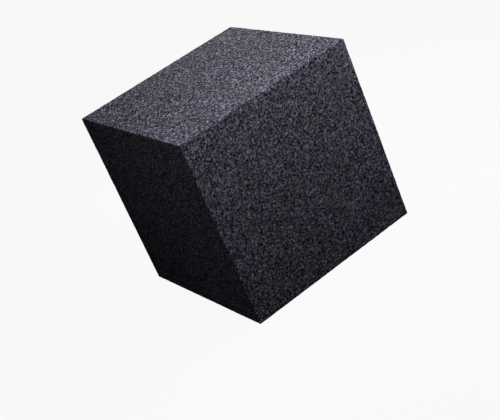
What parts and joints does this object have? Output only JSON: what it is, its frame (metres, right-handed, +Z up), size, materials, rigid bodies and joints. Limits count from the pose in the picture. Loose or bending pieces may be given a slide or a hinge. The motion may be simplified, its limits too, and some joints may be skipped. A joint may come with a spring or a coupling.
{
  "type": "charcoal cube",
  "caption": "Pressed charcoal cube with crisp edges and flat granular faces, burned to heat a water pipe bowl.",
  "frame": {"origin": "centre of the face that the cube rests on", "axes": "+Z up from the resting face, +X and +Y square to the side faces"},
  "size_m": [0.026, 0.026, 0.026],
  "materials": {
    "charcoal": "matte"
  },
  "bodies": {
    "root": {"charcoal_block": "charcoal"}
  },
  "joints": []
}
